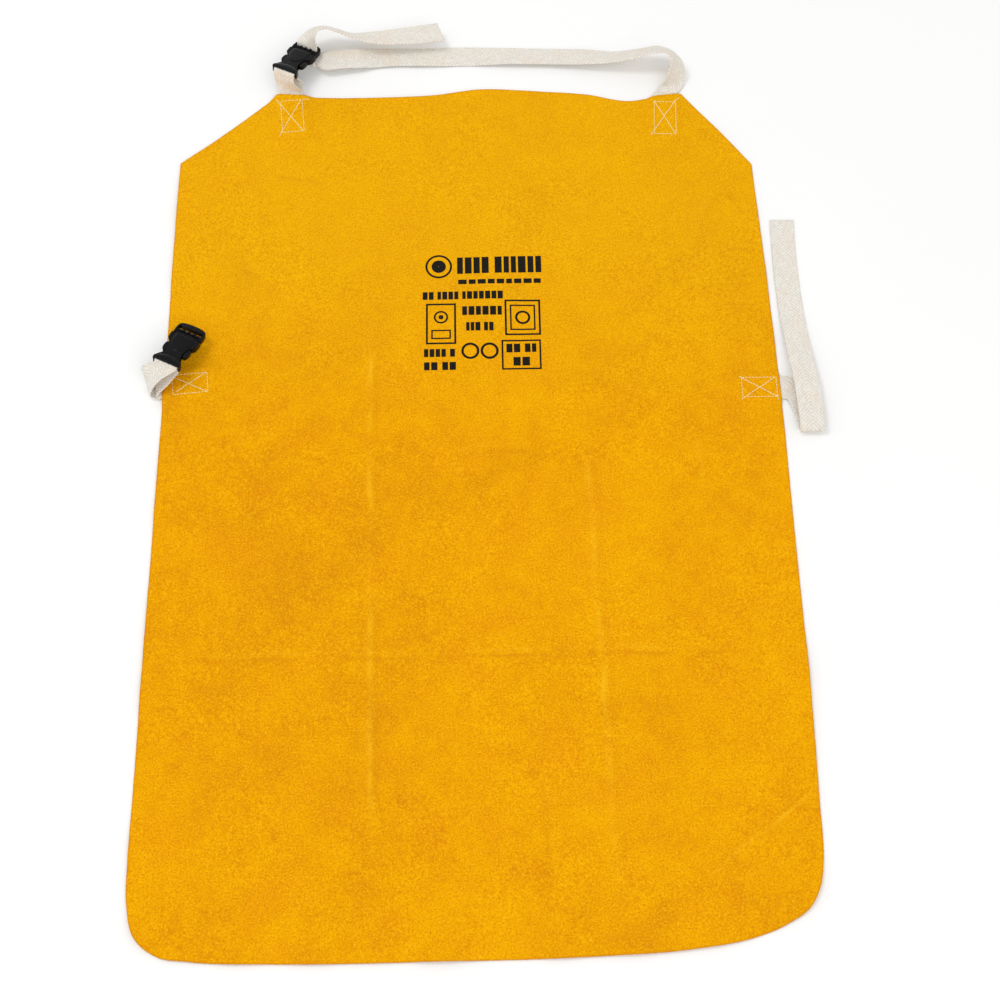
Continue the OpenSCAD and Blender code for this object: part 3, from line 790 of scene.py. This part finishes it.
def loose_ends(centre, across, up, ahead, length):
    """Short cut yarns at a webbing's raw end."""
    rng = random.Random(5)
    parts = []
    for a in np.arange(-HALF_WEB + 0.5, HALF_WEB, 0.82):
        root = centre + across * (a + rng.uniform(-0.2, 0.2)) + up * rng.uniform(-0.45, 0.45) - ahead * 0.6
        tip = (ahead * rng.uniform(0.9, 2.2) + across * rng.uniform(-0.35, 0.35)
               + up * rng.uniform(-0.15, 0.15))
        path = root + tip * np.linspace(0, 1, 5)[:, None]
        points, faces, uv = tube(path, np.linspace(0.36, 0.16, 5), 6)
        parts.append((points, faces, np.column_stack([uv[:, 0] + length, np.full(len(uv), a)])))
    return parts


# place and turn of each buckle, and the bar of its socket with the webbing wrapped round it
NECK_AT, NECK_TURN = np.array([-201.3, 476.4, 29]), turn_matrix(-28, -16, -3.5)
WAIST_AT, WAIST_TURN = np.array([-307.5, 115.3, 30]), turn_matrix(-24.5, -16.5, 2)
SOCKET_T, PLATE_T, BAR_D = 8.2, 1.6, 3.2
BAR_Y = 2.2
BAR_Z = SOCKET_T / 2 - PLATE_T - 0.25 - WEB_T - 0.25 - BAR_D / 2
WRAP_R = BAR_D / 2 + 0.25 + WEB_T / 2


def on(at, turned, p, s=1.0):
    """A station in a buckle's own frame."""
    return st(at + turned @ np.array(p, float), turned @ np.array([s, 0, 0.0]))


def neck(p, s=1.0):
    """A station on the neck buckle."""
    return on(NECK_AT, NECK_TURN, p, s)


def waist(p, s=1.0):
    """A station on the waist buckle."""
    return on(WAIST_AT, WAIST_TURN, p, s)


def wrap(degrees):
    """A point of the webbing's run round the socket bar, in the buckle's own frame."""
    a = math.radians(degrees)
    return [0, BAR_Y + WRAP_R * math.cos(a), BAR_Z + WRAP_R * math.sin(a)]


def build_neck_tab(material):
    """The tab at the top left: doubled round the neck socket's bar, both ends sewn."""
    zone = ZONES["neck_tab"]
    u = [*zone.axes[0], 0]
    x0, y0 = zone.exit[0], zone.exit[1] + 0.7
    stations = [zone.station(zone.web_end), zone.station(8), zone.station(2),
                st([x0, y0, REST_Z], u), st([x0, y0 + 6.5, 1.8], u), st([x0, y0 + 13.5, 5.4], u),
                st([-197.6, 481.6, 12], [0.95, -0.3, 0.03]), neck([0, 7.0, -7.5]), neck([0, 5.4, -4.2])]
    stations += [neck(wrap(a)) for a in (0, 45, 90, 135, 180)]
    stations += [neck([0, -0.9, -4.2]), neck([0, -1.3, -8.4]), st([-199.8, 470.5, 13.4], [0.96, -0.28, 0.03]),
                 st([-198, 469.2, 8.8], [0.99, -0.1, 0]), st([x0, y0 + 0.7, UPPER_Z + 0.9], u),
                 st([x0, y0, UPPER_Z + 0.2], u), zone.station(2, UPPER_Z), zone.station(8, UPPER_Z),
                 zone.station(zone.web_end, UPPER_Z)]
    obj = Ribbon(stations).piece("neck_tab_webbing", material)
    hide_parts("neck_tab_sewn_end", "neck_tab")
    flex(obj)


def build_waist_tab(material):
    """The tab at the left edge: up from the leather, round the waist socket's bar and back."""
    zone = ZONES["waist_tab"]
    stations = [zone.station(zone.web_end), zone.station(8), zone.station(3), zone.station(-1),
                st([-323.5, 102.9, 2.1], [-0.1, 0.99, 0]), st([-328.6, 103.3, 5.6], [-0.18, 0.98, 0]),
                st([-330, 104.4, 11], [-0.32, 0.95, 0]), st([-328.3, 106.6, 17], [-0.52, 0.85, 0]),
                st([-323, 109.4, 23.5], [-0.7, 0.71, 0.01]), st([-315.2, 111.6, 27.8], [-0.84, 0.54, 0.03]),
                waist([-2, -3.2, -2.2], -1)]
    stations += [waist(wrap(a), -1) for a in (165, 125, 90, 45, 0)]
    stations += [waist([0, 5.4, -4.4], -1), waist([0, 5.2, -8], -1),
                 st([-311, 114.8, 17.2], [-0.8, 0.6, 0.02]), st([-316.5, 109.8, 12.4], [-0.55, 0.83, 0]),
                 st([-321, 105.6, 8.9], [-0.3, 0.95, 0]), st([-322.5, 103.6, 6.1], [-0.18, 0.98, 0]),
                 st([-320, 103.1, 3.9], [-0.1, 0.99, 0]), zone.station(-1, UPPER_Z),
                 zone.station(3, UPPER_Z), zone.station(8, UPPER_Z), zone.station(zone.web_end, UPPER_Z)]
    obj = Ribbon(stations).piece("waist_tab_webbing", material)
    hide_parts("waist_tab")
    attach(obj, "panel")


# the slanted line across the neck strap where its straight run ends and its turn to the plug begins
SEAM, SEAM_TURN = [-127.2, 509.68, 9.15], math.radians(-28)
SEAM_DIR = [-math.sin(SEAM_TURN), math.cos(SEAM_TURN), 0]
SEAM_S = 1 / math.cos(SEAM_TURN)


def build_neck_strap(material):
    """The neck strap, from its sewn end over to the plug, round the plug's grip bar and into its tail."""
    zone = ZONES["neck_strap"]
    stations = [zone.station(zone.web_end), zone.station(8), zone.station(4), zone.station(-1.6),
                st([225.6, 462.6, 2], [0.99, 0, -0.03]), st([228.5, 466.2, 3.35], [0.99, 0, -0.15]),
                st([233.3, 472.8, 9], [0.9, 0.28, -0.33]), st([235.3, 478.8, 16.2], [0.8, 0.37, -0.47]),
                st([235, 487.5, 22.8], [0.6, 0.47, -0.65]), st([229, 496.2, 25.8], [0.38, 0.62, -0.69]),
                st([214, 502.3, 24.8], [0.25, 0.79, -0.56]), st([196, 503.3, 18.3], [0.2, 0.85, -0.48]),
                st([167.5, 504.6, 10.4], [0.14, 0.9, -0.42]), st([134.5, 508.5, 6.6], [0.06, 0.97, -0.23]),
                st([95, 512, 3.8], [0, 1, -0.2]), st([48, 514.2, 3.2], [0, 1, -0.17]),
                st([-3, 516, 1], [0, 1, 0]), st([-52, 515.3, 2.4], [0, 1, -0.1]),
                st([-85, 516, 2.2], [0, 1, -0.08]), st([-105, 514.2, 3.3], [0, 1, 0]),
                st([-118, 511.3, 7], [0.1, 1, 0], 1.02), st(SEAM, SEAM_DIR, SEAM_S),
                st([-138, 508.6, 9.8], [0.03, 1, 0]), st([-151, 507, 10], [-0.2, 0.98, 0]),
                st([-163, 505, 10], [-0.45, 0.89, 0]), st([-173, 504.6, 9.5], [-0.74, 0.67, -0.04]),
                neck([3.2, 41, -9.9], -1), neck([3.4, 38.4, -9.4], -1), neck([3.4, 37.6, -8.1], -1),
                neck([3.2, 38.4, -6.8], -1), neck([2.6, 40.6, -6.2], -1), neck([1.1, 44.2, -5.3], -1),
                neck([0.1, 46.6, -4], -1), neck([0, 49.2, -1.3], -1), neck([0, 50, 2], -1),
                neck([0, 50.2, 5], -1), st([-175.4, 527.1, 26.6], [-0.59, 0.65, -0.49]),
                st([-168.9, 533.7, 29.6], [-0.37, 0.67, -0.64]),
                st([-158, 537.5, 28.7], [-0.2, 0.7, -0.68]), st([-146, 536.9, 24.7], [-0.11, 0.72, -0.69]),
                st([-130.5, 534.2, 19.2], [-0.08, 0.75, -0.65]),
                st([-107, 533.3, 15.7], [0.02, 0.92, -0.39]), st([-68, 534.5, 16], [-0.02, 0.99, -0.11]),
                st([-28.7, 538, 17], [-0.32, 0.98, 0], 1.05)]
    strap = Ribbon(stations)
    seam, slot = strap.nearest(SEAM), strap.nearest(neck([0, 50, 1])[:3])
    obj = strap.piece("neck_strap_webbing", material, last=seam)
    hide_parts("neck_strap_sewn_end", "neck_strap")
    flex(obj)
    obj = strap.piece("neck_strap_turn", material, first=seam, last=slot)
    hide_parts("neck_strap_tail")
    flex(obj)
    obj = strap.piece("neck_strap_tail_end", material, first=slot, frayed=True)
    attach(obj, "neck_plug")


def build_waist_strap(material):
    """The waist strap, folded back on itself at the right edge, with its raw end upward."""
    zone = ZONES["waist_strap"]
    x0, y0 = zone.exit[0] + 0.5, zone.exit[1]
    stations = [st([x0 - depth, y0, REST_Z], [0, 1, 0]) for depth in (zone.web_end, 8, 0)]
    stations += [st([326, 89.8, 1.6], [0.2, 0.98, 0]),
                 st([333, 83.2, 2], [0.56, 0.83, 0]), st([339.3, 72, 2.2], [0.85, 0.52, 0]),
                 st([343.4, 59, 2.2], [0.98, 0.2, 0]), st([345, 48.5, 2.4], [1, 0.04, 0]),
                 st([345.2, 42.5, 3.5], [1, 0, 0]), st([345.2, 39.6, 6.6], [1, 0, 0]),
                 st([345, 42.5, 9.7], [1, 0, 0]), st([345, 52, 10.8], [1, 0, 0]),
                 st([344.4, 72, 11], [1, -0.04, 0]), st([343, 96, 11.4], [1, -0.06, 0]),
                 st([340.8, 125, 8], [1, -0.07, 0]), st([338.4, 160, 3.2], [1, -0.06, 0]),
                 st([336.9, 200, 1.3], [1, -0.02, 0]), st([336.6, 245, 1], [1, 0, 0]),
                 st([338, 291, 1], [1, 0.01, 0])]
    obj = Ribbon(stations).piece("waist_strap_webbing", material, frayed=True)
    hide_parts("waist_strap_sewn_end", "waist_strap")
    flex(obj)


# ---- generic print ----
def cells(x0, y0, x1, y1, size=3.0):
    """Points and faces of a filled rectangle, cut small enough to lie on the leather."""
    nx = max(1, math.ceil((x1 - x0) / size))
    ny = max(1, math.ceil((y1 - y0) / size))
    points = [(x0 + (x1 - x0) * i / nx, y0 + (y1 - y0) * j / ny)
              for j in range(ny + 1) for i in range(nx + 1)]
    faces = [[j * (nx + 1) + i, j * (nx + 1) + i + 1, (j + 1) * (nx + 1) + i + 1, (j + 1) * (nx + 1) + i]
             for j in range(ny) for i in range(nx)]
    return np.array(points), faces


def ring_shape(x, y, outer, inner, sides=48):
    """A flat ring."""
    angle = np.arange(sides) * 2 * math.pi / sides
    circles = [np.column_stack([x + r * np.cos(angle), y + r * np.sin(angle)])
               for r in (inner, (inner + outer) / 2, outer)]
    return np.vstack(circles), band_faces(3, sides)


def outline_box(x0, y0, x1, y1, line):
    """The four sides of an open rectangle."""
    return [cells(x0, y0, x1, y0 + line), cells(x0, y1 - line, x1, y1),
            cells(x0, y0 + line, x0 + line, y1 - line), cells(x1 - line, y0 + line, x1, y1 - line)]


def block_row(x0, y0, x1, y1, words, rng):
    """A row of plain blocks in groups, where a line of small print would be."""
    spans = [rng.uniform(0.62, 1.0) for count in words for _ in range(count)]
    gap = 0.24
    size = (x1 - x0) / (sum(spans) + gap * (len(spans) - 1) + 0.5 * (len(words) - 1))
    shapes, x, k = [], x0, 0
    for count in words:
        for _ in range(count):
            shapes.append(cells(x, y0, x + spans[k] * size, y1))
            x += (spans[k] + gap) * size
            k += 1
        x += 0.5 * size
    return shapes


def build_print(material):
    """A generic print on the bib: rows of blocks, rings and frames."""
    rng = random.Random(3)
    shapes = []
    for x, y, outer, inner in ((-32, 241, 14.2, 12.0), (-32, 241, 7.6, 0.4), (-29.8, 179, 7.5, 5.6),
                               (-29.8, 179, 2.6, 0.2), (0.5, 139, 9.4, 6.8), (20.5, 139, 9.4, 6.8),
                               (55.8, 178, 8.0, 5.6)):
        shapes.append(ring_shape(x, y, outer, inner))
    for x0, y0, x1, y1, line in ((-45.5, 147, -14, 195.5, 2.0), (-40, 153, -19.5, 164, 1.6),
                                 (37, 157, 74.5, 199, 2.0), (42.5, 163, 69, 193, 1.6),
                                 (33, 117, 74, 151.5, 1.8)):
        shapes += outline_box(x0, y0, x1, y1, line)
    for x0, y0, x1, y1, words in ((-12.5, 232, 77, 252, (4, 6)), (-11.5, 219, 76, 224.6, (9,)),
                                  (-49, 200.5, 35.5, 210, (2, 4, 7)), (-7.5, 181, 34, 191.5, (6,)),
                                  (-3.5, 162.5, 25, 172.5, (3, 2)), (-47.5, 132.5, -15.5, 141.5, (4, 1)),
                                  (-47.5, 117.5, -14.5, 126.5, (2, 2)), (38, 137, 69, 147, (2, 2)),
                                  (45, 121.5, 62, 131.5, (2,))):
        shapes += block_row(x0, y0, x1, y1, words, rng)
    plan, faces, _ = joined([(p, f, p) for p, f in shapes])
    points = np.column_stack([plan, leather_top(plan) + 0.09])
    obj = mesh_object("front_print", points, faces, material)
    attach(obj, "panel")


# ---- buckles ----
# sizes of the socket and the plug in the buckle's own frame: x across, y from the bar to the plug
CAVITY_W, CAVITY_T, RAIL_W, MOUTH_Y, COLLAR_R = 12.9, 4.98, 13.3, 41, 16.2
SLOT_Y, SLOT_W, GRIP_Y, SHOULDER_Y, TIP_Y, PLUG_T = 48, 4.2, 45.4, 38.5, 15.5, 6.4
SOCKET_SIDE = [(15, 0), (15.2, 2.5), (13.6, 7), (10.6, 11), (9.4, 14.5), (9.4, 21.5), (10.6, 26),
               (13.4, 29), (15.4, 31.5), (COLLAR_R, 36), (COLLAR_R, MOUTH_Y)]
FRAME_SIDE = [(15.7, 42.5), (16, 47), (15.6, 51.5), (14.6, 54.6), (12.6, 56.4), (8, 57.6), (3, 58.2)]


def mirrored(side):
    """A right-hand side and its mirror image as one loop."""
    side = np.array(side, float)
    return np.vstack([side, (side * [-1, 1])[::-1]])


def flipped(loop):
    """A loop's mirror image."""
    return [(-x, y) for x, y in loop][::-1]


def rectangle(x0, y0, x1, y1):
    """A rectangle as a loop."""
    return [(x0, y0), (x1, y0), (x1, y1), (x0, y1)]


def moulded(loop, top, bottom, radius, holes=(), step=1.1):
    """A closed plate over an outline, less its holes, with rims rounded by radius. Heights are numbers
    or functions of the plan points. Returns points, faces and plan pairs."""
    loops = [densify(np.array(one, float), 0.55) for one in (loop, *holes)]
    fine = np.vstack([densify(one, 0.12) for one in loops])
    groups = []
    for inset in (0.05 * radius, 0.2 * radius, 0.5 * radius, radius, 1.5 * radius):
        for one in loops:
            ahead = unit(np.roll(one, -1, axis=0) - np.roll(one, 1, axis=0))
            side = np.column_stack([-ahead[:, 1], ahead[:, 0]]) * inset
            ring = np.vstack([one + side, one - side])
            groups.append(ring[edge_distance(ring, fine) > 0.85 * inset])
    grid = grid_points(loops[0].min(axis=0), loops[0].max(axis=0), step)
    groups.append(grid[edge_distance(grid, fine) > 1.5 * radius + 0.3 * step])
    points = np.vstack(groups)
    points = points[inside(points, loops[0])]
    for hole in loops[1:]:
        points = points[~inside(points, hole)]
    flat, tris, rim = triangulate(loops, thin_out(points, 0.035))
    short = radius - np.minimum(edge_distance(flat, fine), radius)
    drop = radius - np.sqrt(radius ** 2 - short ** 2)
    high = (top(flat) if callable(top) else top) - drop
    low = (bottom(flat) if callable(bottom) else bottom) + drop
    faces, _ = slab_faces(len(flat), tris, rim, 0)
    points = np.vstack([np.column_stack([flat, high]), np.column_stack([flat, low])])
    return points, faces, np.vstack([flat, flat])


def socket_top(p):
    """Top of the socket: a rolled hood over the bar, a waist, and a raised tongue toward the mouth."""
    x, y = np.abs(p[:, 0]), p[:, 1]
    away = np.where(y < 3.4, (3.4 - y) / 5.2, (y - 3.4) / (6.2 - 0.022 * x ** 2))
    hood = 1.5 * np.sqrt(np.clip(1 - away ** 2, 0, 1))
    tongue_half = 10.2 * np.sqrt(np.clip((y - 17.5) / 13.0, 0, 1))
    tongue = 0.75 * ease(-0.7, 0.7, tongue_half - x) * ease(17.0, 19.8, y)
    mouth_lip = 0.35 * ease(MOUTH_Y - 1.8, MOUTH_Y - 1.2, y)
    return 3.55 - 0.0035 * x ** 2 + hood + tongue - mouth_lip


def socket_parts():
    """The socket: upper and lower shell, collar sides, ears, bridge and bar."""
    outline = mirrored(np.vstack([smooth(SOCKET_SIDE, 8), [[9, MOUTH_Y + 0.7]]]))
    lower = outline[outline[:, 1] > 8.4]
    collar = [(CAVITY_W, 28.7), (13.4, 29), (15.4, 31.5), (COLLAR_R, 36), (COLLAR_R, MOUTH_Y - 0.1),
              (CAVITY_W, MOUTH_Y - 0.1)]
    ear = [(13.3, 0.4), (14.9, 0.4), (15.15, 2.5), (14.5, 4.9), (13.5, 7.2), (13.3, 7.6)]
    bridge = [(-12.0, 8.4), (12.0, 8.4), (10.4, 11.4), (-10.4, 11.4)]
    parts = [moulded(outline, socket_top, 2.5, 0.5, step=0.75), moulded(lower, -2.5, -SOCKET_T / 2, 0.7)]
    parts += [moulded(shape, 3.3, -3.6, 0.5) for shape in (collar, flipped(collar))]
    parts += [moulded(shape, 3.0, -SOCKET_T / 2, 0.5) for shape in (ear, flipped(ear))]
    parts.append(moulded(bridge, 3.0, -3.4, 0.5))
    ends = np.array([[-RAIL_W - 0.6, BAR_Y, BAR_Z], [RAIL_W + 0.6, BAR_Y, BAR_Z]])
    parts.append(tube(ends[0] + (ends[1] - ends[0]) * np.linspace(0, 1, 5)[:, None], [BAR_D / 2] * 5, 32))
    return parts


def rim_top(p):
    """Top of the plug's frame, falling off toward its far end."""
    return PLUG_T / 2 + 0.25 - 0.0022 * p[:, 0] ** 2 - 0.02 * np.clip(p[:, 1] - 52, 0, 9) ** 2


def plug_parts():
    """The plug: frame, grip bar with three teeth, neck and guide tongue."""
    outline = mirrored(smooth(FRAME_SIDE, 8))
    window = rectangle(-RAIL_W, 43.7, RAIL_W, SLOT_Y + SLOT_W)
    half = CAVITY_T / 2 - 0.2
    tongue = [(-2.5, SHOULDER_Y + 1), (-2.5, TIP_Y + 2), (-1.4, TIP_Y), (1.4, TIP_Y), (2.5, TIP_Y + 2),
              (2.5, SHOULDER_Y + 1)]
    parts = [moulded(outline, rim_top, -PLUG_T / 2, 0.9, holes=[window], step=0.9),
             moulded(rectangle(-RAIL_W - 0.5, GRIP_Y, RAIL_W + 0.5, SLOT_Y), PLUG_T / 2 - 0.35, -1.2, 0.8),
             moulded(rectangle(-CAVITY_W + 0.5, SHOULDER_Y, CAVITY_W - 0.5, 43.5), half, -half, 0.6),
             moulded(tongue, half, -half, 0.6)]
    for x in (-6, 0, 6):
        tooth = rectangle(x - 1.1, GRIP_Y + 0.3, x + 1.1, SLOT_Y + 0.2)
        parts.append(moulded(tooth, PLUG_T / 2 + 0.8, 1.5, 0.6, step=0.6))
    return parts


def build_buckles(material):
    """Both buckles: each socket rides its strap's body, and each plug its own."""
    socket, plug = joined(socket_parts()), joined(plug_parts())
    for name, at, turned, socket_body in (("neck", NECK_AT, NECK_TURN, "neck_loop"),
                                          ("waist", WAIST_AT, WAIST_TURN, "waist_buckle")):
        for kind, (points, faces, _), body in (("socket", socket, socket_body),
                                               ("plug", plug, name + "_plug")):
            obj = mesh_object(f"{name}_{kind}_moulding", points @ turned.T + at, faces, material)
            obj.data.set_sharp_from_angle(angle=math.radians(50))
            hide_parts(f"{name}_buckle_{kind}")
            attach(obj, body)


def dress_arms(material):
    """The spring arms stay as packed, with softened edges."""
    for name, obj in frame["nodes"].items():
        if "_arm_" not in name:
            continue
        for slot in obj.material_slots:
            slot.link = "OBJECT"
            slot.material = material
        obj.modifiers.new("weld", "WELD").merge_threshold = 0.02 * MM
        bevel = obj.modifiers.new("soft_edges", "BEVEL")
        bevel.width, bevel.segments = 0.5 * MM, 3
        bevel.limit_method, bevel.angle_limit = "ANGLE", math.radians(35)


# ---- stage ----
def build_floor():
    """A plain floor just under the object."""
    mesh = bpy.data.meshes.new("floor")
    corners = [(x, y, -0.4 * MM) for x, y in rectangle(-8, -8, 8, 8)]
    mesh.from_pydata(corners, [], [(0, 1, 2, 3)])
    mesh.materials.append(floor_material())
    floor = bpy.data.objects.new("floor", mesh)
    bpy.context.scene.collection.objects.link(floor)


def build_light():
    """A white room, a key light from the upper left and a fill light from below the hem."""
    world = bpy.data.worlds.new("studio")
    world.use_nodes = True
    world.node_tree.nodes["Background"].inputs["Color"].default_value = (1.0, 1.0, 1.0, 1.0)
    world.node_tree.nodes["Background"].inputs["Strength"].default_value = 0.78
    bpy.context.scene.world = world
    for name, place, size, power in (("key", (-1.3, 0.7, 3.0), 1.1, 24.0),
                                     ("fill", (1.0, -1.9, 2.3), 2.2, 18.0)):
        lamp = bpy.data.lights.new(name, "AREA")
        lamp.shape, lamp.size, lamp.energy = "SQUARE", size, power
        light = bpy.data.objects.new(name, lamp)
        light.location = place
        light.rotation_euler = (-Vector(place)).to_track_quat("-Z", "Y").to_euler()
        bpy.context.scene.collection.objects.link(light)
    bpy.context.scene.view_settings.view_transform = "Standard"


def build_camera():
    """The view from below the hem, 68 degrees above the floor."""
    tilt, yaw, roll = math.radians(21.93), math.radians(-0.791), math.radians(-0.334)
    look_at, distance = Vector((28.05, -27.17, 0)) * MM, 1.4234
    forward = Matrix.Rotation(yaw, 3, "Z") @ Vector((0, math.sin(tilt), -math.cos(tilt)))
    right = Matrix.Rotation(yaw, 3, "Z") @ Vector((1, 0, 0))
    up = right.cross(forward)
    x_axis = math.cos(roll) * right + math.sin(roll) * up
    y_axis = math.cos(roll) * up - math.sin(roll) * right
    data = bpy.data.cameras.new("camera")
    data.lens, data.sensor_width = 51.48, 36.0
    camera = bpy.data.objects.new("camera", data)
    turned = Matrix((x_axis, y_axis, -forward)).transposed()
    camera.matrix_world = Matrix.Translation(look_at - forward * distance) @ turned.to_4x4()
    bpy.context.scene.collection.objects.link(camera)
    bpy.context.scene.camera = camera


build_leather(leather_material())
build_stitching(thread_material())
cotton = webbing_material()
build_neck_tab(cotton)
build_neck_strap(cotton)
build_waist_tab(cotton)
build_waist_strap(cotton)
build_print(ink_material())
black = plastic_material()
build_buckles(black)
dress_arms(black)
build_floor()
build_light()
build_camera()
